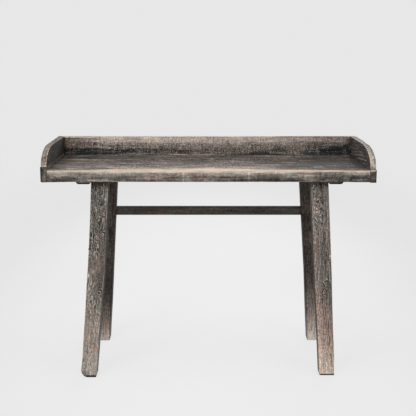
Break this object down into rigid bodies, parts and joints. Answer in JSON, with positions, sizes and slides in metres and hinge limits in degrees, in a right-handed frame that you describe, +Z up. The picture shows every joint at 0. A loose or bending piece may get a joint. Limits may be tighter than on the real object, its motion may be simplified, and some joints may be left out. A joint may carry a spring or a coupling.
{
  "type": "hall table",
  "caption": "Rustic plank hall table with a raised gallery along the back and ends, on splayed square legs joined by stretchers.",
  "frame": {"origin": "on the floor, under the middle of the table", "axes": "+X along the table to the right as seen from the front, +Y from the front to the back, +Z up"},
  "size_m": [1.202, 0.452, 0.851],
  "materials": {
    "top_elm": "dry, weathered grain with worn pale edges",
    "end_strip_elm": "dark weathered end grain",
    "gallery_elm": "dry, dark-stained grain with worn upper edges",
    "leg_elm": "dry, curly grain, paler towards the feet",
    "rail_elm": "dark, plain, low sheen",
    "peg_wood": "dark end grain"
  },
  "bodies": {
    "root": {"front_plank": "top_elm", "rear_plank": "top_elm", "left_end_strip": "end_strip_elm", "right_end_strip": "end_strip_elm", "back_board": "gallery_elm", "left_gallery_board": "gallery_elm", "right_gallery_board": "gallery_elm", "left_batten": "rail_elm", "right_batten": "rail_elm", "front_left_leg": "leg_elm", "front_right_leg": "leg_elm", "rear_left_leg": "leg_elm", "rear_right_leg": "leg_elm", "rear_stretcher": "rail_elm", "left_side_stretcher": "rail_elm", "right_side_stretcher": "rail_elm", "tenon_wedges": "peg_wood", "rear_stretcher_pegs": "peg_wood", "side_stretcher_pegs": "peg_wood", "end_strip_pegs": "peg_wood", "side_board_dowels": "peg_wood", "back_board_dowels": "peg_wood"}
  },
  "joints": []
}
